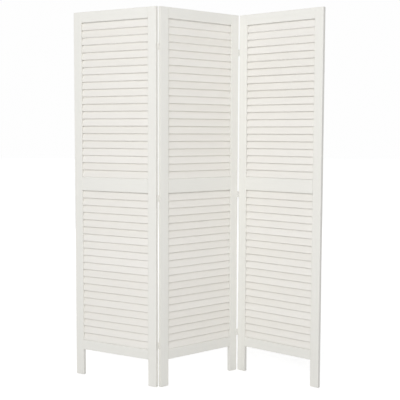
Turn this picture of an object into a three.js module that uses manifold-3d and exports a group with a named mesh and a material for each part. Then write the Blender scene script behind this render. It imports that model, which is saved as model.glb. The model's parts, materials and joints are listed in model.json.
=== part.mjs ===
// Folding room divider: three louvred wooden panels in a zigzag, joined by small butt hinges.
// Millimetres, +Z up. A panel is drawn in its own frame: x runs along its width, y from its
// front face at 0 to its back face, and z up from the floor.

import * as THREE from 'three';
import { mergeVertices } from 'three/addons/utils/BufferGeometryUtils.js';
import Module from 'manifold-3d';

const wasm = await Module();
wasm.setup();

// Panel frame
const panelHeight = 1700;
const panelWidth = 440;
const panelThickness = 18;
const stileWidth = 42;
const topRailHeight = 48;
const middleRailHeight = 62;
const bottomRailHeight = 46;
const legHeight = 122;
const edgeRadius = 1.5;

// Joints of the wooden frame
const fitGap = 0.3;
const tenonLength = 20;
const tenonThickness = 6;
const tenonShoulder = 6;
const grooveDepth = 6;
const grooveWidth = 8;
const tongueOverlap = 1;

// Slats
const slatWidth = 36;
const slatThickness = 5;
const slatEdgeRadius = 2;
const slatRecess = 1;
const slatLeastOverlap = 1.8;

// Hinges
const hingeHeight = 30;
const hingeTopDrop = 174;
const hingeFootHeight = 187;
const leafThickness = 1;
const leafMargin = 2;
const knuckleCount = 5;
const knuckleGap = 0.3;
const knuckleWall = 1.1;
const pinRadius = 1;
const pinClearance = 0.3;
const pinChamfer = 0.3;
const screwHoleRadius = 1.6;
const screwHeadRadius = 2.9;
const screwSpacing = 18;

// Seams: the gap between the stiles when flat, and how far the pins stand off their face
const leftSeamGap = 1.4;
const leftPinStandoff = 1;
const rightSeamGap = 3.4;
const rightPinStandoff = 1.8;

// The zigzag as it stands, in degrees: a fold of 0 is two panels in one flat line
const centrePanelTurn = 36.5;
const leftFold = 63.5;
const rightFold = 73.5;

// Facets
const cornerSegments = 1;
const roundSegments = 16;

// Sizes that follow from those above
const bankHeight = (panelHeight - legHeight - bottomRailHeight - middleRailHeight - topRailHeight) / 2;
const bottomRailBase = legHeight;
const lowerBankBase = bottomRailBase + bottomRailHeight;
const middleRailBase = lowerBankBase + bankHeight;
const upperBankBase = middleRailBase + middleRailHeight;
const topRailBase = upperBankBase + bankHeight;

const slatDepth = panelThickness - 2 * slatRecess;
const slatDiagonal = Math.hypot(slatWidth, slatThickness);
const slatTilt = Math.asin(slatDepth / slatDiagonal) - Math.atan2(slatThickness, slatWidth);
const slatRise = slatWidth * Math.cos(slatTilt) + slatThickness * Math.sin(slatTilt);
const slatTravel = bankHeight - 2 * fitGap - slatRise;
const slatSteps = Math.ceil(slatTravel / (slatRise - slatLeastOverlap));
const slatPitch = slatTravel / slatSteps;

const boreRadius = pinRadius + pinClearance;
const knuckleRadius = boreRadius + knuckleWall;
const leafWidth = panelThickness - leafMargin;
const screwReach = (knuckleRadius + leafWidth) / 2;
const hingeHeights = {
  upper: panelHeight - hingeTopDrop,
  middle: (panelHeight - hingeTopDrop + hingeFootHeight) / 2,
  lower: hingeFootHeight,
};

const paint = new THREE.MeshStandardMaterial({ color: 0xece8dd, roughness: 0.55, metalness: 0 });
const slatPaint = new THREE.MeshStandardMaterial({ color: 0xe9e5da, roughness: 0.6, metalness: 0 });
const leafPaint = new THREE.MeshStandardMaterial({ color: 0xe6e2d8, roughness: 0.45, metalness: 0.2 });
const pinPaint = new THREE.MeshStandardMaterial({ color: 0xdad6cc, roughness: 0.4, metalness: 0.4 });

// A closed geometry becomes a solid that can be joined and cut
function solid(geometry) {
  const bare = geometry.clone();
  bare.deleteAttribute('normal');
  bare.deleteAttribute('uv');
  const merged = mergeVertices(bare);
  const vertProperties = new Float32Array(merged.attributes.position.array);
  const triVerts = new Uint32Array(merged.index.array);
  return new wasm.Manifold(new wasm.Mesh({ numProp: 3, vertProperties, triVerts }));
}

function namedMesh(name, body, material) {
  const cut = body.getMesh();
  const geometry = new THREE.BufferGeometry();
  geometry.setAttribute('position', new THREE.BufferAttribute(cut.vertProperties, 3));
  geometry.setIndex(new THREE.BufferAttribute(cut.triVerts, 1));
  geometry.computeVertexNormals();
  const mesh = new THREE.Mesh(geometry, material);
  mesh.name = name;
  return mesh;
}

// A box between two corners
function block(low, high) {
  const size = high.map((value, axis) => value - low[axis]);
  const middle = high.map((value, axis) => (value + low[axis]) / 2);
  return solid(new THREE.BoxGeometry(...size).translate(...middle));
}

// A bar along z with rounded long edges; its section starts at the origin
function roundedBar(width, depth, length, radius) {
  const quarter = Math.PI / 2;
  const section = new THREE.Shape();
  section.absarc(width - radius, radius, radius, -quarter, 0);
  section.absarc(width - radius, depth - radius, radius, 0, quarter);
  section.absarc(radius, depth - radius, radius, quarter, 2 * quarter);
  section.absarc(radius, radius, radius, 2 * quarter, 3 * quarter);
  const settings = { depth: length, bevelEnabled: false, curveSegments: cornerSegments };
  return new THREE.ExtrudeGeometry(section, settings);
}

// A round bar along z, centred on the z axis
function roundBar(radius, from, to) {
  const bar = new THREE.CylinderGeometry(radius, radius, to - from, roundSegments);
  return solid(bar.rotateX(Math.PI / 2).translate(0, 0, (from + to) / 2));
}

// The tenon at a rail's left end; grown by a clearance it is the mortise that takes it
function tenonBlock(railBase, railHeight, growth) {
  const middle = panelThickness / 2;
  const half = tenonThickness / 2 + growth;
  const low = [stileWidth - tenonLength - growth, middle - half, railBase + tenonShoulder - growth];
  const high = [stileWidth + tongueOverlap, middle + half, railBase + railHeight - tenonShoulder + growth];
  return block(low, high);
}

function mirroredAcrossPanel(body) {
  return body.mirror([1, 0, 0]).translate([panelWidth, 0, 0]);
}

function turnedToFront(body) {
  return body.mirror([0, 1, 0]).translate([0, panelThickness, 0]);
}

// The recess that lets a hinge into a stile's edge at x = 0, open to the back face. Its
// floor clears the leaf and the other leaf's knuckles.
function hingeRecess(seamGap, pinStandoff) {
  const depth = knuckleRadius + fitGap - seamGap / 2;
  const inner = panelThickness + pinStandoff - leafWidth - fitGap;
  const half = hingeHeight / 2 + fitGap;
  return block([-tongueOverlap, inner, -half], [depth, panelThickness + tongueOverlap, half]);
}

// Left-hand stile with its mortises and the grooves that house the slat ends. Where its
// outer edge meets another panel, the hinges are let into it.
function stile(recess) {
  let body = solid(roundedBar(stileWidth, panelThickness, panelHeight, edgeRadius));
  const rails = [
    [bottomRailBase, bottomRailHeight],
    [middleRailBase, middleRailHeight],
    [topRailBase, topRailHeight],
  ];
  for (const [railBase, railHeight] of rails) {
    body = body.subtract(tenonBlock(railBase, railHeight, fitGap));
  }
  const near = (panelThickness - grooveWidth) / 2;
  for (const bankBase of [lowerBankBase, upperBankBase]) {
    const low = [stileWidth - grooveDepth, near, bankBase];
    const high = [stileWidth + tongueOverlap, near + grooveWidth, bankBase + bankHeight];
    body = body.subtract(block(low, high));
  }
  if (recess) {
    for (const height of Object.values(hingeHeights)) {
      body = body.subtract(recess.translate([0, 0, height]));
    }
  }
  return body;
}

function rail(railBase, railHeight) {
  const length = panelWidth - 2 * (stileWidth + fitGap);
  const bar = roundedBar(railHeight, panelThickness, length, edgeRadius);
  bar.rotateY(-Math.PI / 2).translate(stileWidth + fitGap + length, 0, railBase);
  const tenon = tenonBlock(railBase, railHeight, 0);
  return solid(bar).add(tenon).add(mirroredAcrossPanel(tenon));
}

// One bank of slats, lower edges forward, joined at both ends inside the stile grooves
function slatBank(bankBase) {
  const length = panelWidth - 2 * (stileWidth + fitGap);
  const section = roundedBar(slatWidth, slatThickness, length, slatEdgeRadius);
  section.translate(-slatWidth / 2, -slatThickness / 2, 0).rotateY(-Math.PI / 2);
  section.rotateX(-slatTilt).translate(stileWidth + fitGap + length, panelThickness / 2, 0);
  const slat = solid(section);
  const near = (panelThickness - grooveWidth) / 2 + fitGap;
  const low = [stileWidth - grooveDepth + fitGap, near, bankBase + fitGap];
  const high = [stileWidth + fitGap + tongueOverlap, panelThickness - near, bankBase + bankHeight - fitGap];
  const tongue = block(low, high);
  let bank = tongue.add(mirroredAcrossPanel(tongue));
  const firstHeight = bankBase + fitGap + slatRise / 2;
  for (let step = 0; step <= slatSteps; step += 1) {
    bank = bank.add(slat.translate([0, 0, firstHeight + step * slatPitch]));
  }
  return bank;
}

// Hinge pieces are drawn about the pin, which is the z axis. Side is +1 for the leaf whose
// stile lies towards +x and -1 for the other; both stiles lie towards -y.
function hingeLeaf(side, knuckles) {
  const near = knuckleRadius - leafThickness;
  const far = knuckleRadius;
  const [lowX, highX] = side > 0 ? [near, far] : [-far, -near];
  const plate = block([lowX, -leafWidth, -hingeHeight / 2], [highX, 0, hingeHeight / 2]);
  const slot = (hingeHeight + knuckleGap) / knuckleCount;
  let body = plate;
  for (let index = 0; index < knuckleCount; index += 1) {
    const from = -hingeHeight / 2 + index * slot;
    const to = from + slot - knuckleGap;
    body = knuckles.includes(index)
      ? body.add(roundBar(knuckleRadius, from, to))
      : body.subtract(roundBar(knuckleRadius + knuckleGap, from - knuckleGap, to + knuckleGap));
  }
  body = body.subtract(roundBar(boreRadius, -hingeHeight, hingeHeight));
  for (const height of [-screwSpacing / 2, screwSpacing / 2]) {
    body = body.subtract(screwHole(side).translate([0, -screwReach, height]));
  }
  return body;
}

// A countersunk hole through a leaf, wide on the face that looks at the other leaf
function screwHole(side) {
  const cone = new THREE.CylinderGeometry(screwHoleRadius, screwHeadRadius, leafThickness, roundSegments);
  cone.rotateZ(-side * Math.PI / 2).translate(side * (knuckleRadius - leafThickness / 2), 0, 0);
  return solid(cone);
}

// A plain pin, flush with the knuckles and chamfered at both ends
function hingePin() {
  const end = hingeHeight / 2;
  const shoulder = end - pinChamfer;
  const tipRadius = pinRadius - pinChamfer;
  const outline = [
    [0, -end],
    [tipRadius, -end],
    [pinRadius, -shoulder],
    [pinRadius, shoulder],
    [tipRadius, end],
    [0, end],
  ];
  const points = outline.map(([radius, height]) => new THREE.Vector2(radius, height));
  return solid(new THREE.LatheGeometry(points, roundSegments).rotateX(Math.PI / 2));
}

// A panel, with the recess for the hinges on each side that has them
function panel(name, leftSide, rightSide) {
  const group = new THREE.Group();
  const leftStile = stile(leftSide);
  const rightStile = mirroredAcrossPanel(stile(rightSide));
  group.add(namedMesh(`${name}_left_stile`, leftStile, paint));
  group.add(namedMesh(`${name}_right_stile`, rightStile, paint));
  group.add(namedMesh(`${name}_top_rail`, rail(topRailBase, topRailHeight), paint));
  group.add(namedMesh(`${name}_middle_rail`, rail(middleRailBase, middleRailHeight), paint));
  group.add(namedMesh(`${name}_bottom_rail`, rail(bottomRailBase, bottomRailHeight), paint));
  group.add(namedMesh(`${name}_upper_slats`, slatBank(upperBankBase), slatPaint));
  group.add(namedMesh(`${name}_lower_slats`, slatBank(lowerBankBase), slatPaint));
  return group;
}

// Three hinges up one seam. Place is the pin's x and y in the centre panel's frame, turn
// points the barrel away from the wood, and outerTurn is how the outer panel is folded.
function seamHinges(name, place, turn, outerTurn) {
  const group = new THREE.Group();
  group.position.set(...place, 0);
  for (const [level, height] of Object.entries(hingeHeights)) {
    const centreLeaf = namedMesh(`${name}_seam_${level}_centre_leaf`, hingeLeaf(1, [0, 2, 4]), leafPaint);
    const outerLeaf = namedMesh(`${name}_seam_${level}_outer_leaf`, hingeLeaf(-1, [1, 3]), leafPaint);
    const pin = namedMesh(`${name}_seam_${level}_pin`, hingePin(), pinPaint);
    for (const piece of [centreLeaf, outerLeaf, pin]) {
      piece.position.z = height;
      piece.rotation.z = turn;
      group.add(piece);
    }
    outerLeaf.rotation.z = turn + outerTurn;
  }
  return group;
}

// An outer panel hangs on its pins: pinPlace is the pin in the outer panel's own frame
function hungPanel(hung, place, pinPlace, turn) {
  hung.position.set(-pinPlace[0], -pinPlace[1], 0);
  const pivot = new THREE.Group();
  pivot.position.set(...place, 0);
  pivot.rotation.z = turn;
  pivot.add(hung);
  return pivot;
}

// The left seam folds towards the back and carries its pins there, the right one in front
const leftTurn = -THREE.MathUtils.degToRad(leftFold);
const rightTurn = -THREE.MathUtils.degToRad(rightFold);
const leftPinPlace = [-leftSeamGap / 2, panelThickness + leftPinStandoff];
const rightPinPlace = [panelWidth + rightSeamGap / 2, -rightPinStandoff];
const leftPanelPin = [panelWidth + leftSeamGap / 2, leftPinPlace[1]];
const rightPanelPin = [-rightSeamGap / 2, rightPinPlace[1]];
const backRecess = hingeRecess(leftSeamGap, leftPinStandoff);
const frontRecess = turnedToFront(hingeRecess(rightSeamGap, rightPinStandoff));
const leftPanel = panel('left_panel', null, backRecess);
const rightPanel = panel('right_panel', frontRecess, null);

const zigzag = new THREE.Group();
zigzag.rotation.z = THREE.MathUtils.degToRad(centrePanelTurn);
zigzag.add(panel('centre_panel', backRecess, frontRecess));
zigzag.add(hungPanel(leftPanel, leftPinPlace, leftPanelPin, leftTurn));
zigzag.add(hungPanel(rightPanel, rightPinPlace, rightPanelPin, rightTurn));
zigzag.add(seamHinges('left', leftPinPlace, 0, leftTurn));
zigzag.add(seamHinges('right', rightPinPlace, Math.PI, rightTurn));

// The screen stands with the middle of its footprint at the origin
const footprint = new THREE.Box3().setFromObject(zigzag);
const screen = new THREE.Group();
screen.add(zigzag);
screen.position.set(-(footprint.min.x + footprint.max.x) / 2, -(footprint.min.y + footprint.max.y) / 2, 0);

export default screen;
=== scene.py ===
import json
import math
import random

import bmesh
import bpy
from mathutils import Matrix, Vector


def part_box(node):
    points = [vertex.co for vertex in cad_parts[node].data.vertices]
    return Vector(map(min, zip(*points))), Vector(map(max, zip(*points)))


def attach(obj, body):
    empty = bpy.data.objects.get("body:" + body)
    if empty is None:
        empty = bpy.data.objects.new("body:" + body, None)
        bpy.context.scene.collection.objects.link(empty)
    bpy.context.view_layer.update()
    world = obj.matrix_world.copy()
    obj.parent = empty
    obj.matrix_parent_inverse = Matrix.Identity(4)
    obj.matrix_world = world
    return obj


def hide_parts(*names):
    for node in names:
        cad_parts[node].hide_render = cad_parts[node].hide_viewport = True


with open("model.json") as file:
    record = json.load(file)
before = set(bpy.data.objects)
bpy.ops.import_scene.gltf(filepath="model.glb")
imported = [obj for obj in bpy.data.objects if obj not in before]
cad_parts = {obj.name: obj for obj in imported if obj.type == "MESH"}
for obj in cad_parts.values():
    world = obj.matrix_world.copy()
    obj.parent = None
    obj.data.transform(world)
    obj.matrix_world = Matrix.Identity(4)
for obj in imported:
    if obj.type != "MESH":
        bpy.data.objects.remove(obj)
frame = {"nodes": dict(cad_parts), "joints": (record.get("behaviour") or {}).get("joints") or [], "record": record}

scene = bpy.context.scene
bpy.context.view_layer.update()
mountPlaces = {mount["name"]: Vector(mount["pos_m"]) for mount in frame["record"]["mounts"]}
jointPlaces = {joint["name"]: Vector(joint["pos_m"]) for joint in frame["joints"]}
print("frame loaded with", len(frame["nodes"]), "nodes")


# camera and light

cameraSettings = {
    "place": (0.0202, -3.4672, 1.1481),
    "pitch": -4.179,
    "roll": 0.195,
    "lens": 67.75,
    "shiftY": -0.03,
}


def placeCamera(settings):
    data = bpy.data.cameras.new("camera")
    data.lens = settings["lens"]
    data.shift_y = settings["shiftY"]
    camera = bpy.data.objects.new("camera", data)
    scene.collection.objects.link(camera)
    tilt = Matrix.Rotation(math.radians(90 + settings["pitch"]), 4, "X")
    roll = Matrix.Rotation(math.radians(settings["roll"]), 4, "Z")
    camera.matrix_world = Matrix.Translation(settings["place"]) @ tilt @ roll
    scene.camera = camera


lightSettings = {
    "key": {"place": (-0.5, -5.0, 2.9), "size": 3.2, "power": 115},
    "fill": {"place": (-1.6, -4.7, 2.9), "size": 3.2, "power": 38},
    "back": {"place": (-1.8, 4.4, 3.0), "size": 3.2, "power": 110},
    "aim": (0.0, 0.0, 1.1),
    "skyStrength": 0.5,
    "backdropStrength": 0.99,
}


def softLight(name, settings, aim):
    data = bpy.data.lights.new(name, "AREA")
    data.shape = "DISK"
    data.size = settings["size"]
    data.energy = settings["power"]
    light = bpy.data.objects.new(name, data)
    scene.collection.objects.link(light)
    light.location = settings["place"]
    direction = Vector(aim) - light.location
    light.rotation_euler = direction.to_track_quat("-Z", "Y").to_euler()


def lightStudio(settings):
    for name in ("key", "fill", "back"):
        softLight(name, settings[name], settings["aim"])
    world = bpy.data.worlds.new("studio")
    world.use_nodes = True
    scene.world = world
    nodes = world.node_tree.nodes
    links = world.node_tree.links
    nodes.clear()
    sky = nodes.new("ShaderNodeBackground")
    sky.inputs["Strength"].default_value = settings["skyStrength"]
    sky.inputs["Color"].default_value = (1, 1, 1, 1)
    backdrop = nodes.new("ShaderNodeBackground")
    backdrop.inputs["Strength"].default_value = settings["backdropStrength"]
    backdrop.inputs["Color"].default_value = (1, 1, 1, 1)
    path = nodes.new("ShaderNodeLightPath")
    mix = nodes.new("ShaderNodeMixShader")
    output = nodes.new("ShaderNodeOutputWorld")
    links.new(path.outputs["Is Camera Ray"], mix.inputs["Fac"])
    links.new(sky.outputs[0], mix.inputs[1])
    links.new(backdrop.outputs[0], mix.inputs[2])
    links.new(mix.outputs[0], output.inputs["Surface"])


placeCamera(cameraSettings)
lightStudio(lightSettings)
scene.view_settings.view_transform = "Standard"
print("camera and lights placed")


# shader node groups

def startGroup(name, inputs, outputs):
    group = bpy.data.node_groups.new(name, "ShaderNodeTree")
    for label, kind, value in inputs:
        socket = group.interface.new_socket(name=label, in_out="INPUT", socket_type=kind)
        if value is not None:
            socket.default_value = value
    for label, kind in outputs:
        group.interface.new_socket(name=label, in_out="OUTPUT", socket_type=kind)
    return group, group.nodes.new("NodeGroupInput"), group.nodes.new("NodeGroupOutput")


def mathNode(nodes, operation, value=None):
    node = nodes.new("ShaderNodeMath")
    node.operation = operation
    if value is not None:
        node.inputs[1].default_value = value
    return node


def rangeNode(nodes, fromLow, fromHigh, toLow, toHigh):
    node = nodes.new("ShaderNodeMapRange")
    node.inputs["From Min"].default_value = fromLow
    node.inputs["From Max"].default_value = fromHigh
    node.inputs["To Min"].default_value = toLow
    node.inputs["To Max"].default_value = toHigh
    return node


grainPattern = {
    "lineDetail": 4,
    "lineRoughness": 0.6,
    "figureDetail": 2,
    "figureDistortion": 0.4,
    "figureShare": 0.16,  # figure scale against line scale
}


# Noise drawn out along x, shifted by a number so that no two pieces match
def buildGrainGroup():
    group, source, result = startGroup(
        "drawnOutGrain",
        [
            ("Vector", "NodeSocketVector", None),
            ("Shift", "NodeSocketFloat", 0.0),
            ("Lines Per Metre", "NodeSocketFloat", 400.0),
            ("Stretch", "NodeSocketFloat", 30.0),
        ],
        [("Lines", "NodeSocketFloat"), ("Figure", "NodeSocketFloat")],
    )
    nodes, links = group.nodes, group.links
    moved = nodes.new("ShaderNodeVectorMath")
    moved.operation = "ADD"
    offset = nodes.new("ShaderNodeCombineXYZ")
    squeeze = nodes.new("ShaderNodeCombineXYZ")
    squeeze.inputs["Y"].default_value = 1
    squeeze.inputs["Z"].default_value = 1
    inverse = nodes.new("ShaderNodeMath")
    inverse.operation = "DIVIDE"
    inverse.inputs[0].default_value = 1
    scaled = nodes.new("ShaderNodeVectorMath")
    scaled.operation = "MULTIPLY"
    links.new(source.outputs["Shift"], offset.inputs["X"])
    links.new(source.outputs["Shift"], offset.inputs["Y"])
    links.new(source.outputs["Vector"], moved.inputs[0])
    links.new(offset.outputs[0], moved.inputs[1])
    links.new(source.outputs["Stretch"], inverse.inputs[1])
    links.new(inverse.outputs[0], squeeze.inputs["X"])
    links.new(moved.outputs[0], scaled.inputs[0])
    links.new(squeeze.outputs[0], scaled.inputs[1])
    lines = nodes.new("ShaderNodeTexNoise")
    lines.inputs["Detail"].default_value = grainPattern["lineDetail"]
    lines.inputs["Roughness"].default_value = grainPattern["lineRoughness"]
    figure = nodes.new("ShaderNodeTexNoise")
    figure.inputs["Detail"].default_value = grainPattern["figureDetail"]
    figure.inputs["Distortion"].default_value = grainPattern["figureDistortion"]
    coarse = mathNode(nodes, "MULTIPLY", grainPattern["figureShare"])
    links.new(source.outputs["Lines Per Metre"], lines.inputs["Scale"])
    links.new(source.outputs["Lines Per Metre"], coarse.inputs[0])
    links.new(coarse.outputs[0], figure.inputs["Scale"])
    links.new(scaled.outputs[0], lines.inputs["Vector"])
    links.new(scaled.outputs[0], figure.inputs["Vector"])
    links.new(lines.outputs["Fac"], result.inputs["Lines"])
    links.new(figure.outputs["Fac"], result.inputs["Figure"])
    return group


handledPattern = {"detail": 5, "spread": (0.35, 0.7)}


# Soft blotches where hands and dust leave the paint a little duller
def buildHandledGroup():
    group, source, result = startGroup(
        "handledPaint",
        [
            ("Vector", "NodeSocketVector", None),
            ("Shift", "NodeSocketFloat", 0.0),
            ("Spots Per Metre", "NodeSocketFloat", 5.0),
        ],
        [("Dull", "NodeSocketFloat")],
    )
    nodes, links = group.nodes, group.links
    offset = nodes.new("ShaderNodeCombineXYZ")
    moved = nodes.new("ShaderNodeVectorMath")
    moved.operation = "ADD"
    blotch = nodes.new("ShaderNodeTexNoise")
    blotch.inputs["Detail"].default_value = handledPattern["detail"]
    spread = rangeNode(nodes, *handledPattern["spread"], 0.0, 1.0)
    links.new(source.outputs["Shift"], offset.inputs["Z"])
    links.new(source.outputs["Vector"], moved.inputs[0])
    links.new(offset.outputs[0], moved.inputs[1])
    links.new(moved.outputs[0], blotch.inputs["Vector"])
    links.new(source.outputs["Spots Per Metre"], blotch.inputs["Scale"])
    links.new(blotch.outputs["Fac"], spread.inputs["Value"])
    links.new(spread.outputs["Result"], result.inputs["Dull"])
    return group


edgePattern = {"patchesPerMetre": 45, "detail": 6, "spread": (0.42, 0.68)}


# Thin paint on the eased edges: the edge mark broken up by noise
def buildEdgeGroup():
    group, source, result = startGroup(
        "thinPaintEdge",
        [
            ("Vector", "NodeSocketVector", None),
            ("Edge", "NodeSocketFloat", 0.0),
            ("Amount", "NodeSocketFloat", 0.5),
        ],
        [("Mask", "NodeSocketFloat")],
    )
    nodes, links = group.nodes, group.links
    patch = nodes.new("ShaderNodeTexNoise")
    patch.inputs["Scale"].default_value = edgePattern["patchesPerMetre"]
    patch.inputs["Detail"].default_value = edgePattern["detail"]
    spread = rangeNode(nodes, *edgePattern["spread"], 0.0, 1.0)
    marked = mathNode(nodes, "MULTIPLY")
    weighed = mathNode(nodes, "MULTIPLY")
    links.new(source.outputs["Vector"], patch.inputs["Vector"])
    links.new(patch.outputs["Fac"], spread.inputs["Value"])
    links.new(spread.outputs["Result"], marked.inputs[0])
    links.new(source.outputs["Edge"], marked.inputs[1])
    links.new(marked.outputs[0], weighed.inputs[0])
    links.new(source.outputs["Amount"], weighed.inputs[1])
    links.new(weighed.outputs[0], result.inputs["Mask"])
    return group


grainGroup = buildGrainGroup()
handledGroup = buildHandledGroup()
edgeGroup = buildEdgeGroup()


def placeGroup(nodes, group, **values):
    node = nodes.new("ShaderNodeGroup")
    node.node_tree = group
    for label, value in values.items():
        node.inputs[label].default_value = value
    return node


def mixColours(nodes, links, factor, first, second):
    mix = nodes.new("ShaderNodeMix")
    mix.data_type = "RGBA"
    links.new(factor, mix.inputs["Factor"])
    for socket, value in ((mix.inputs[6], first), (mix.inputs[7], second)):
        if isinstance(value, tuple):
            socket.default_value = (*value, 1)
        else:
            links.new(value, socket)
    return mix.outputs[2]


def newMaterial(name):
    material = bpy.data.materials.new(name)
    material.use_nodes = True
    nodes = material.node_tree.nodes
    return material, nodes, material.node_tree.links, nodes["Principled BSDF"]


# materials

framePaint = {
    "colour": (0.868, 0.860, 0.818),
    "grainColour": (0.830, 0.819, 0.768),
    "edgeColour": (0.80, 0.768, 0.695),
    "linesPerMetre": 420.0,
    "stretch": 34.0,
    "roughness": (0.44, 0.60),
    "grainDepth": 0.00022,
    "grainStrength": 0.8,
    "figureRange": (0.30, 0.75),
    "lineRange": (0.45, 0.75),
    "edgeAmount": 0.35,
    "specular": 0.45,
}

slatPaint = {
    **framePaint,
    "colour": (0.871, 0.852, 0.813),
    "grainColour": (0.830, 0.808, 0.757),
    "edgeColour": (0.79, 0.755, 0.68),
    "linesPerMetre": 520.0,
    "stretch": 42.0,
    "roughness": (0.48, 0.64),
    "grainDepth": 0.00018,
    "edgeAmount": 0.30,
}


# grainTurn lays the grain along z instead of x
def paintedWood(name, values, grainTurn):
    material, nodes, links, shader = newMaterial(name)
    coordinates = nodes.new("ShaderNodeTexCoord")
    turned = nodes.new("ShaderNodeMapping")
    turned.inputs["Rotation"].default_value = (0, grainTurn, 0)
    shift = nodes.new("ShaderNodeAttribute")
    shift.attribute_name = "grainShift"
    tone = nodes.new("ShaderNodeAttribute")
    tone.attribute_name = "pieceTone"
    edge = nodes.new("ShaderNodeAttribute")
    edge.attribute_name = "easedEdge"
    grain = placeGroup(nodes, grainGroup, **{
        "Lines Per Metre": values["linesPerMetre"],
        "Stretch": values["stretch"],
    })
    handled = placeGroup(nodes, handledGroup)
    worn = placeGroup(nodes, edgeGroup, Amount=values["edgeAmount"])
    links.new(coordinates.outputs["Object"], turned.inputs["Vector"])
    links.new(turned.outputs[0], grain.inputs["Vector"])
    links.new(shift.outputs["Fac"], grain.inputs["Shift"])
    links.new(coordinates.outputs["Object"], handled.inputs["Vector"])
    links.new(shift.outputs["Fac"], handled.inputs["Shift"])
    links.new(coordinates.outputs["Object"], worn.inputs["Vector"])
    links.new(edge.outputs["Fac"], worn.inputs["Edge"])

    # colour: paint, with the grain just showing, each piece a shade apart, edges thin
    figureShare = rangeNode(nodes, *values["figureRange"], 0.0, 1.0)
    lineShare = rangeNode(nodes, *values["lineRange"], 0.0, 1.0)
    both = mathNode(nodes, "MULTIPLY")
    links.new(grain.outputs["Figure"], figureShare.inputs["Value"])
    links.new(grain.outputs["Lines"], lineShare.inputs["Value"])
    links.new(figureShare.outputs["Result"], both.inputs[0])
    links.new(lineShare.outputs["Result"], both.inputs[1])
    withTone = mathNode(nodes, "ADD")
    links.new(both.outputs[0], withTone.inputs[0])
    links.new(tone.outputs["Fac"], withTone.inputs[1])
    plain, grainColour = values["colour"], values["grainColour"]
    grained = mixColours(nodes, links, withTone.outputs[0], plain, grainColour)
    finished = mixColours(nodes, links, worn.outputs["Mask"], grained, values["edgeColour"])
    links.new(finished, shader.inputs["Base Color"])

    smooth, dull = values["roughness"]
    sheen = rangeNode(nodes, 0.0, 1.0, smooth, dull)
    links.new(handled.outputs["Dull"], sheen.inputs["Value"])
    links.new(sheen.outputs["Result"], shader.inputs["Roughness"])
    bump = nodes.new("ShaderNodeBump")
    bump.inputs["Distance"].default_value = values["grainDepth"]
    bump.inputs["Strength"].default_value = values["grainStrength"]
    links.new(grain.outputs["Lines"], bump.inputs["Height"])
    links.new(bump.outputs["Normal"], shader.inputs["Normal"])
    shader.inputs["Specular IOR Level"].default_value = values["specular"]
    return material


paintedMetal = {
    "colour": (0.855, 0.845, 0.805),
    "chipColour": (0.62, 0.60, 0.56),
    "roughness": (0.32, 0.5),
    "spotsPerMetre": 90.0,
    "peelScale": 1400,
    "peelDetail": 2,
    "bumpDepth": 0.00008,
    "edgeAmount": 0.4,
}


def paintedHardware(name, values):
    material, nodes, links, shader = newMaterial(name)
    coordinates = nodes.new("ShaderNodeTexCoord")
    edge = nodes.new("ShaderNodeAttribute")
    edge.attribute_name = "easedEdge"
    worn = placeGroup(nodes, edgeGroup, Amount=values["edgeAmount"])
    handled = placeGroup(nodes, handledGroup, **{"Spots Per Metre": values["spotsPerMetre"]})
    orangePeel = nodes.new("ShaderNodeTexNoise")
    orangePeel.inputs["Scale"].default_value = values["peelScale"]
    orangePeel.inputs["Detail"].default_value = values["peelDetail"]
    links.new(coordinates.outputs["Object"], worn.inputs["Vector"])
    links.new(coordinates.outputs["Object"], handled.inputs["Vector"])
    links.new(coordinates.outputs["Object"], orangePeel.inputs["Vector"])
    links.new(edge.outputs["Fac"], worn.inputs["Edge"])
    colour = mixColours(nodes, links, worn.outputs["Mask"], values["colour"], values["chipColour"])
    links.new(colour, shader.inputs["Base Color"])
    links.new(worn.outputs["Mask"], shader.inputs["Metallic"])
    smooth, dull = values["roughness"]
    sheen = rangeNode(nodes, 0.0, 1.0, smooth, dull)
    links.new(handled.outputs["Dull"], sheen.inputs["Value"])
    links.new(sheen.outputs["Result"], shader.inputs["Roughness"])
    bump = nodes.new("ShaderNodeBump")
    bump.inputs["Distance"].default_value = values["bumpDepth"]
    links.new(orangePeel.outputs["Fac"], bump.inputs["Height"])
    links.new(bump.outputs["Normal"], shader.inputs["Normal"])
    return material


uprightWood = paintedWood("uprightWood", framePaint, math.radians(90))
crossWood = paintedWood("crossWood", framePaint, 0)
slatWood = paintedWood("slatWood", slatPaint, 0)
leafMetal = paintedHardware("leafMetal", paintedMetal)
paintedPin = {**paintedMetal, "roughness": (0.24, 0.42), "edgeAmount": 0.7}
pinMetal = paintedHardware("pinMetal", paintedPin)
screwMetal = paintedHardware("screwMetal", {**paintedMetal, "colour": (0.82, 0.81, 0.77)})
print("materials made")


# mesh helpers

pieceMarks = ("easedEdge", "grainShift", "pieceTone")
barSettings = {"cornerSegments": 4, "endEase": 0.0008, "endSteps": 3, "spacing": 0.08}


def startMesh():
    build = bmesh.new()
    for mark in pieceMarks:
        build.verts.layers.float.new(mark)
    return build


def finishPiece(name, build, material, body, nodes, matrix):
    mesh = bpy.data.meshes.new(name)
    bmesh.ops.recalc_face_normals(build, faces=build.faces)
    build.to_mesh(mesh)
    build.free()
    mesh.materials.append(material)
    piece = bpy.data.objects.new(name, mesh)
    scene.collection.objects.link(piece)
    piece.matrix_world = matrix
    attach(piece, body)
    if nodes:
        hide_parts(*nodes)


# Corner points of a rounded rectangle, inset all round, with a mark that is 1 on the corners
def roundedSection(width, depth, radius, segments, inset):
    points = []
    right, back = width - radius, depth - radius
    centres = ((right, radius), (right, back), (radius, back), (radius, radius))
    for corner, (centreX, centreY) in enumerate(centres):
        for step in range(segments + 1):
            angle = math.radians(90 * (corner - 1 + step / segments))
            reach = radius - inset
            mark = math.sin(math.pi * step / segments)
            x = centreX + reach * math.cos(angle)
            points.append((x, centreY + reach * math.sin(angle), mark))
    return points


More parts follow.
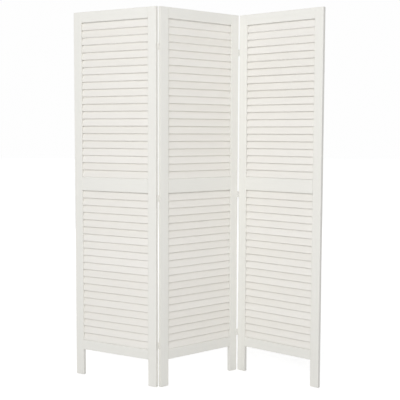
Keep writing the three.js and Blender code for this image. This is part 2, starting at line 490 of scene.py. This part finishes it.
# Adds a bar along z with rounded long edges and eased ends
def addRoundedBar(build, width, depth, length, radius, segments=barSettings["cornerSegments"]):
    edgeLayer = build.verts.layers.float["easedEdge"]
    endEase, endSteps = barSettings["endEase"], barSettings["endSteps"]
    rings = []
    levels = []
    for step in range(endSteps + 1):
        angle = math.radians(90 * step / endSteps)
        levels.append((endEase * (1 - math.cos(angle)), endEase * (1 - math.sin(angle))))
    span = length - 2 * endEase
    inner = max(1, round(span / barSettings["spacing"]))
    profile = levels + [(endEase + span * step / inner, 0.0) for step in range(1, inner)]
    profile += [(length - height, inset) for height, inset in reversed(levels)]
    for height, inset in profile:
        ring = []
        for x, y, mark in roundedSection(width, depth, radius, segments, inset):
            vertex = build.verts.new((x, y, height))
            vertex[edgeLayer] = max(mark, min(1.0, inset / endEase))
            ring.append(vertex)
        rings.append(ring)
    count = len(rings[0])
    for lower, upper in zip(rings, rings[1:]):
        for index in range(count):
            following = (index + 1) % count
            face = build.faces.new((lower[index], lower[following], upper[following], upper[index]))
            face.smooth = following % (segments + 1) != 0
    build.faces.new(list(reversed(rings[0])))
    build.faces.new(rings[-1])
    return [vertex for ring in rings for vertex in ring]


# Gives the vertices a grain shift and a tone of their own
def markPiece(build, vertices, shift, tone):
    for label, value in (("grainShift", shift), ("pieceTone", tone)):
        layer = build.verts.layers.float[label]
        for vertex in vertices:
            vertex[layer] = value


def circlePoints(centre, radius, count):
    angles = [2 * math.pi * step / count for step in range(count)]
    return [(centre[0] + radius * math.cos(a), centre[1] + radius * math.sin(a)) for a in angles]


# Turns a profile of (radius, height, mark) points round z; a closed profile makes a ring
def addTurned(build, profile, segments, closed):
    edgeLayer = build.verts.layers.float["easedEdge"]
    rings = []
    for radius, height, mark in profile:
        if radius == 0:
            ring = [build.verts.new((0, 0, height))]
        else:
            circle = circlePoints((0, 0), radius, segments)
            ring = [build.verts.new((x, y, height)) for x, y in circle]
        for vertex in ring:
            vertex[edgeLayer] = mark
        rings.append(ring)
    pairs = list(zip(rings, rings[1:]))
    if closed:
        pairs.append((rings[-1], rings[0]))
    for first, second in pairs:
        for index in range(segments):
            following = (index + 1) % segments
            corners = [first[index % len(first)], first[following % len(first)]]
            corners += [second[following % len(second)], second[index % len(second)]]
            face = build.faces.new(list(dict.fromkeys(corners)))
            face.smooth = True


# panels

panelSizes = {
    "thickness": 0.018,
    "stileWidth": 0.042,
    "edgeRadius": 0.0015,
    "jointGap": 0.0002,
    "tones": 0.25,
    "shifts": 9,
}

slatSizes = {
    "width": 0.036,
    "thickness": 0.005,
    "edgeRadius": 0.0021,
    "recess": 0.001,
    "leastOverlap": 0.0018,
    "endGap": 0.0006,
    "tongue": {"across": 0.022, "deep": 0.0026, "reach": 0.003, "radius": 0.0008, "segments": 1},
    "looseness": 0.00018,
    "looseTilt": 0.25,
    "tones": 0.55,
    "shifts": 90,
}

pieceRandom = random.Random(11)


# The panel's own frame: x along its width, y to its back face, z up, read from its two feet
def panelFrame(panel):
    leftFoot = mountPlaces[f"{panel}_left_foot"]
    rightFoot = mountPlaces[f"{panel}_right_foot"]
    along = (rightFoot - leftFoot).normalized()
    back = Vector((0, 0, 1)).cross(along)
    origin = leftFoot - along * panelSizes["stileWidth"] / 2 - back * panelSizes["thickness"] / 2
    matrix = Matrix.Identity(4)
    for row in range(3):
        matrix[row][0], matrix[row][1], matrix[row][3] = along[row], back[row], origin[row]
    return matrix, (rightFoot - leftFoot).length + panelSizes["stileWidth"]


# Cuts boxes out of a mesh. It keeps the edge marks; shift and tone are given afterwards
def cutBoxes(build, boxes):
    for low, high in boxes:
        mesh = bpy.data.meshes.new("cut")
        build.to_mesh(mesh)
        work = bpy.data.objects.new("cut", mesh)
        tool = bmesh.new()
        bmesh.ops.create_cube(tool, size=1)
        size = [high[axis] - low[axis] for axis in range(3)]
        middle = [(high[axis] + low[axis]) / 2 for axis in range(3)]
        bmesh.ops.scale(tool, verts=tool.verts, vec=size)
        bmesh.ops.translate(tool, verts=tool.verts, vec=middle)
        toolMesh = bpy.data.meshes.new("tool")
        tool.to_mesh(toolMesh)
        tool.free()
        toolObject = bpy.data.objects.new("tool", toolMesh)
        scene.collection.objects.link(work)
        scene.collection.objects.link(toolObject)
        modifier = work.modifiers.new("cut", "BOOLEAN")
        modifier.operation = "DIFFERENCE"
        modifier.object = toolObject
        evaluated = work.evaluated_get(bpy.context.evaluated_depsgraph_get())
        result = bpy.data.meshes.new_from_object(evaluated)
        build.clear()
        build.from_mesh(result)
        for item in (work, toolObject):
            bpy.data.objects.remove(item)
        for item in (mesh, toolMesh, result):
            bpy.data.meshes.remove(item)


# Draws the shift, then the tone, that set one piece of wood apart from the next
def markAtRandom(build, vertices, sizes):
    shift = pieceRandom.uniform(0, sizes["shifts"])
    markPiece(build, vertices, shift, pieceRandom.uniform(0, sizes["tones"]))


def woodPiece(node, build, material, body, matrix):
    finishPiece(node + "_wood", build, material, body, [node], matrix)


# Recesses that let the hinges into the stiles, open to the face that carries the pins
recessSizes = {
    "left": {"depth": 0.0020, "blank": 0.0027, "pinsAtBack": True},
    "right": {"depth": 0.0010, "blank": 0.0035, "pinsAtBack": False},
    "halfHeight": 0.0153,
    "overshoot": 0.001,
}


def hingeRecesses(seam, side, panelWidth):
    sizes = recessSizes[seam]
    edge, inward = (0, 1) if side == "left" else (panelWidth, -1)
    ends = sorted((edge - inward * recessSizes["overshoot"], edge + inward * sizes["depth"]))
    half = recessSizes["halfHeight"]
    near, far = sizes["blank"], panelSizes["thickness"] + recessSizes["overshoot"]
    if not sizes["pinsAtBack"]:
        near, far = panelSizes["thickness"] - far, panelSizes["thickness"] - near
    boxes = []
    for level in ("upper", "middle", "lower"):
        pinLow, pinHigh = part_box(f"{seam}_seam_{level}_pin")
        height = (pinLow.z + pinHigh.z) / 2
        boxes.append(((ends[0], near, height - half), (ends[1], far, height + half)))
    return boxes


seamOfEdge = {
    ("left_panel", "right"): "left",
    ("centre_panel", "left"): "left",
    ("centre_panel", "right"): "right",
    ("right_panel", "left"): "right",
}


def makeStile(panel, side, matrix, panelWidth):
    node = f"{panel}_{side}_stile"
    low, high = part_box(node)
    width, thickness = panelSizes["stileWidth"], panelSizes["thickness"]
    build = startMesh()
    vertices = addRoundedBar(build, width, thickness, high.z - low.z, panelSizes["edgeRadius"])
    start = 0 if side == "left" else panelWidth - width
    bmesh.ops.translate(build, verts=vertices, vec=(start, 0, low.z))
    if (panel, side) in seamOfEdge:
        cutBoxes(build, hingeRecesses(seamOfEdge[(panel, side)], side, panelWidth))
    markAtRandom(build, build.verts, panelSizes)
    woodPiece(node, build, uprightWood, panel, matrix)


# A bar along x between the stiles, its section (across, deep) tipped about its own middle
def barBetweenStiles(build, section, radius, panelWidth, overrun, tilt, height, **options):
    across, deep = section
    length = panelWidth - 2 * panelSizes["stileWidth"] + 2 * overrun
    vertices = addRoundedBar(build, across, deep, length, radius, **options)
    centred = Matrix.Translation((-across / 2, -deep / 2, 0))
    lay = Matrix.Rotation(math.radians(-90), 4, "Y")
    tip = Matrix.Rotation(-tilt, 4, "X")
    end = (panelWidth / 2 + length / 2, panelSizes["thickness"] / 2, height)
    turned = Matrix.Translation(end) @ tip @ lay @ centred
    bmesh.ops.transform(build, verts=vertices, matrix=turned)
    return vertices


def makeRail(panel, level, matrix, panelWidth):
    node = f"{panel}_{level}_rail"
    low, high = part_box(node)
    build = startMesh()
    section = (high.z - low.z, panelSizes["thickness"])
    radius, overrun = panelSizes["edgeRadius"], -panelSizes["jointGap"]
    height = (low.z + high.z) / 2
    vertices = barBetweenStiles(build, section, radius, panelWidth, overrun, 0, height)
    markAtRandom(build, vertices, panelSizes)
    woodPiece(node, build, crossWood, panel, matrix)


def makeSlats(panel, bank, matrix, panelWidth):
    node = f"{panel}_{bank}_slats"
    low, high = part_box(node)
    across, deep = slatSizes["width"], slatSizes["thickness"]
    radius, overrun = slatSizes["edgeRadius"], -slatSizes["endGap"]
    tongue = slatSizes["tongue"]
    tongueSection = (tongue["across"], tongue["deep"])
    depth = panelSizes["thickness"] - 2 * slatSizes["recess"]
    tilt = math.asin(depth / math.hypot(across, deep)) - math.atan2(deep, across)
    rise = across * math.cos(tilt) + deep * math.sin(tilt)
    travel = high.z - low.z - rise
    steps = math.ceil(travel / (rise - slatSizes["leastOverlap"]))
    build = startMesh()
    for step in range(steps + 1):
        height = low.z + rise / 2 + travel * step / steps
        height += pieceRandom.uniform(-1, 1) * slatSizes["looseness"]
        tipped = tilt + math.radians(pieceRandom.uniform(-1, 1) * slatSizes["looseTilt"])
        vertices = barBetweenStiles(
            build, (across, deep), radius, panelWidth, overrun, tipped, height
        )
        vertices += barBetweenStiles(
            build, tongueSection, tongue["radius"], panelWidth, tongue["reach"], tipped, height,
            segments=tongue["segments"],
        )
        markAtRandom(build, vertices, slatSizes)
    woodPiece(node, build, slatWood, panel, matrix)


panelFrames = {}
for panel in ("left_panel", "centre_panel", "right_panel"):
    panelFrames[panel], panelWidth = panelFrame(panel)
    for side in ("left", "right"):
        makeStile(panel, side, panelFrames[panel], panelWidth)
    for level in ("top", "middle", "bottom"):
        makeRail(panel, level, panelFrames[panel], panelWidth)
    for bank in ("upper", "lower"):
        makeSlats(panel, bank, panelFrames[panel], panelWidth)
    print(panel, "made")


# hinges

hingeSizes = {
    "height": 0.030,
    "leafThickness": 0.001,
    "leafWidth": 0.016,
    "knuckles": 5,
    "knuckleGap": 0.0003,
    "knuckleRadius": 0.0024,
    "boreRadius": 0.00125,
    "pinRadius": 0.00105,
    "pinChamfer": 0.0003,
    "screwSpacing": 0.018,
    "screwHeadRadius": 0.0028,
    "screwRing": 0.0001,
    "easing": 0.00015,
    "mergeShare": 0.05,  # of the easing: points nearer than this become one
    "roundSegments": 40,
    "screwSegments": 32,
}

# Shares of the screw head's radius, of its depth and of the leaf's thickness
screwShares = {"arm": 0.55, "slit": 0.13, "crossDepth": 0.55, "depth": 0.9, "flush": 0.95}

# How bare the paint is on the corners, rims and flats of the round pieces
wearMarks = {"corner": 1.0, "rim": 0.6, "pinEnd": 0.4, "barrel": 0.2}


def knuckleSpans():
    slot = (hingeSizes["height"] + hingeSizes["knuckleGap"]) / hingeSizes["knuckles"]
    starts = [index * slot - hingeSizes["height"] / 2 for index in range(hingeSizes["knuckles"])]
    return [(start, start + slot - hingeSizes["knuckleGap"]) for start in starts]


# The leaf's outline in y and z: fingers reach to the pin at its own knuckles
def leafOutline(ownKnuckles):
    back = -hingeSizes["leafWidth"]
    clear = -(hingeSizes["knuckleRadius"] + hingeSizes["knuckleGap"])
    half = hingeSizes["height"] / 2
    outline = [(back, -half)]
    for index, (start, end) in enumerate(knuckleSpans()):
        reach = 0 if index in ownKnuckles else clear
        outline += [(reach, start), (reach, end)]
    outline.append((back, half))
    return outline


# A flat plate with eased edges from loops drawn in y and z, thick along x
def addPlate(build, loops, centreX):
    thickness, easing = hingeSizes["leafThickness"], hingeSizes["easing"]
    curve = bpy.data.curves.new("plate", "CURVE")
    curve.dimensions = "2D"
    curve.fill_mode = "BOTH"
    curve.extrude = thickness / 2 - easing
    curve.bevel_depth = easing
    curve.bevel_resolution = 1
    curve.offset = -easing
    for loop in loops:
        spline = curve.splines.new("POLY")
        spline.points.add(len(loop) - 1)
        spline.use_cyclic_u = True
        for point, (y, z) in zip(spline.points, loop):
            point.co = (y, z, 0, 1)
    holder = bpy.data.objects.new("plate", curve)
    scene.collection.objects.link(holder)
    evaluated = holder.evaluated_get(bpy.context.evaluated_depsgraph_get())
    mesh = bpy.data.meshes.new_from_object(evaluated)
    turn = Matrix(((0, 0, 1, centreX), (1, 0, 0, 0), (0, 1, 0, 0), (0, 0, 0, 1)))
    mesh.transform(turn)
    build.from_mesh(mesh)
    bmesh.ops.remove_doubles(build, verts=build.verts, dist=easing * hingeSizes["mergeShare"])
    bpy.data.objects.remove(holder)
    bpy.data.meshes.remove(mesh)
    bpy.data.curves.remove(curve)


def addKnuckle(build, start, end):
    outer, inner, ease = hingeSizes["knuckleRadius"], hingeSizes["boreRadius"], hingeSizes["easing"]
    rim, barrel = wearMarks["rim"], wearMarks["barrel"]
    profile = [
        (inner, start, 0),
        (outer - ease, start, rim),
        (outer, start + ease, barrel),
        (outer, end - ease, barrel),
        (outer - ease, end, rim),
        (inner, end, 0),
    ]
    addTurned(build, profile, hingeSizes["roundSegments"], closed=True)


def screwPlaces():
    reach = -(hingeSizes["knuckleRadius"] + hingeSizes["leafWidth"]) / 2
    return [(reach, side * hingeSizes["screwSpacing"] / 2) for side in (-1, 1)]


def leafCentre(side):
    return side * (hingeSizes["knuckleRadius"] - hingeSizes["leafThickness"] / 2)


def makeLeaf(node, side, ownKnuckles, body, matrix):
    build = startMesh()
    holeRadius = hingeSizes["screwHeadRadius"] + hingeSizes["screwRing"]
    segments = hingeSizes["screwSegments"]
    holes = [circlePoints(place, holeRadius, segments) for place in screwPlaces()]
    addPlate(build, [leafOutline(ownKnuckles), *holes], leafCentre(side))
    for index, (start, end) in enumerate(knuckleSpans()):
        if index in ownKnuckles:
            addKnuckle(build, start, end)
    finishPiece(node + "_metal", build, leafMetal, body, [node], matrix)


def makePin(node, body, matrix):
    end = hingeSizes["height"] / 2
    radius, chamfer = hingeSizes["pinRadius"], hingeSizes["pinChamfer"]
    corner, flat = wearMarks["corner"], wearMarks["pinEnd"]
    upper = [(radius, end - chamfer, corner), (radius - chamfer, end, corner), (0, end, flat)]
    lower = [(r, -z, mark) for r, z, mark in reversed(upper)]
    build = startMesh()
    addTurned(build, lower + upper, hingeSizes["roundSegments"], closed=False)
    finishPiece(node + "_metal", build, pinMetal, body, [node], matrix)


# A flush screw head with a cross recess, drawn facing -x times side
def addScrewHead(build, side, place):
    radius = hingeSizes["screwHeadRadius"]
    depth = hingeSizes["leafThickness"] * screwShares["depth"]
    arm, slit = radius * screwShares["arm"], radius * screwShares["slit"]
    sunk = depth * screwShares["crossDepth"]
    cross = [
        (slit, slit), (slit, arm), (-slit, arm), (-slit, slit), (-arm, slit), (-arm, -slit),
        (-slit, -slit), (-slit, -arm), (slit, -arm), (slit, -slit), (arm, -slit), (arm, slit),
    ]
    turn = math.radians(pieceRandom.uniform(0, 90))
    cosine, sine = math.cos(turn), math.sin(turn)
    rim = circlePoints((0, 0), radius, hingeSizes["screwSegments"])
    recess = [(y * cosine - z * sine, y * sine + z * cosine) for y, z in cross]
    face = side * (hingeSizes["knuckleRadius"] - hingeSizes["leafThickness"] * screwShares["flush"])

    def loopAt(points, sink):
        x = face + side * sink
        return [build.verts.new((x, place[0] + y, place[1] + z)) for y, z in points]

    def loopEdges(loop):
        return [build.edges.new((a, b)) for a, b in zip(loop, loop[1:] + loop[:1])]

    def bridge(first, second):
        for index in range(len(first)):
            following = (index + 1) % len(first)
            build.faces.new((first[index], first[following], second[following], second[index]))

    rimTop, rimBase = loopAt(rim, 0), loopAt(rim, depth)
    crossTop, crossBase = loopAt(recess, 0), loopAt(recess, sunk)
    bmesh.ops.triangle_fill(build, use_beauty=True, edges=loopEdges(rimTop) + loopEdges(crossTop))
    bridge(rimTop, rimBase)
    bridge(crossTop, crossBase)
    build.faces.new(rimBase)
    build.faces.new(crossBase)


def makeScrews(name, side, body, matrix):
    build = startMesh()
    for place in screwPlaces():
        addScrewHead(build, side, place)
    finishPiece(name, build, screwMetal, body, [], matrix)


def seamMatrix(body, seam, height):
    matrix = panelFrames[body].copy()
    pin = jointPlaces[f"{seam}_fold"]
    matrix.translation = (pin.x, pin.y, height)
    if seam == "right":
        matrix = matrix @ Matrix.Rotation(math.pi, 4, "Z")
    return matrix


for seam in ("left", "right"):
    for level in ("upper", "middle", "lower"):
        name = f"{seam}_seam_{level}"
        low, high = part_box(name + "_pin")
        height = (low.z + high.z) / 2
        centreMatrix = seamMatrix("centre_panel", seam, height)
        outerMatrix = seamMatrix(f"{seam}_panel", seam, height)
        makeLeaf(name + "_centre_leaf", 1, (0, 2, 4), "centre_panel", centreMatrix)
        makeLeaf(name + "_outer_leaf", -1, (1, 3), f"{seam}_panel", outerMatrix)
        makePin(name + "_pin", "centre_panel", centreMatrix)
        makeScrews(name + "_centre_screws", 1, "centre_panel", centreMatrix)
        makeScrews(name + "_outer_screws", -1, f"{seam}_panel", outerMatrix)
print("hinges made")


# floor

floorSettings = {
    "reach": 30.0,
    "colour": (0.64, 0.64, 0.64, 1),
    "roughness": 0.9,
    "specular": 0.1,
    "nearLift": 0.53,
    "farLift": 0.69,
    "nearReach": 1.8,
    "farReach": 4.0,
}


# The lift shows the floor as white as the backdrop, also far from the lights. It is seen by the
# camera only, so it adds no light to the screen
def makeFloor(settings):
    reach = settings["reach"]
    mesh = bpy.data.meshes.new("floor")
    corners = [(-reach, -reach, 0), (reach, -reach, 0), (reach, reach, 0), (-reach, reach, 0)]
    mesh.from_pydata(corners, [], [(0, 1, 2, 3)])
    floor = bpy.data.objects.new("floor", mesh)
    scene.collection.objects.link(floor)
    material, nodes, links, shader = newMaterial("floorMaterial")
    shader.inputs["Base Color"].default_value = settings["colour"]
    shader.inputs["Roughness"].default_value = settings["roughness"]
    shader.inputs["Specular IOR Level"].default_value = settings["specular"]
    shader.inputs["Emission Color"].default_value = (1, 1, 1, 1)
    place = nodes.new("ShaderNodeNewGeometry")
    distance = nodes.new("ShaderNodeVectorMath")
    distance.operation = "LENGTH"
    links.new(place.outputs["Position"], distance.inputs[0])
    near, far = settings["nearReach"], settings["farReach"]
    lift = rangeNode(nodes, near, far, settings["nearLift"], settings["farLift"])
    lift.interpolation_type = "SMOOTHSTEP"
    links.new(distance.outputs["Value"], lift.inputs["Value"])
    path = nodes.new("ShaderNodeLightPath")
    seen = mathNode(nodes, "MULTIPLY")
    links.new(path.outputs["Is Camera Ray"], seen.inputs[0])
    links.new(lift.outputs["Result"], seen.inputs[1])
    links.new(seen.outputs[0], shader.inputs["Emission Strength"])
    mesh.materials.append(material)


makeFloor(floorSettings)
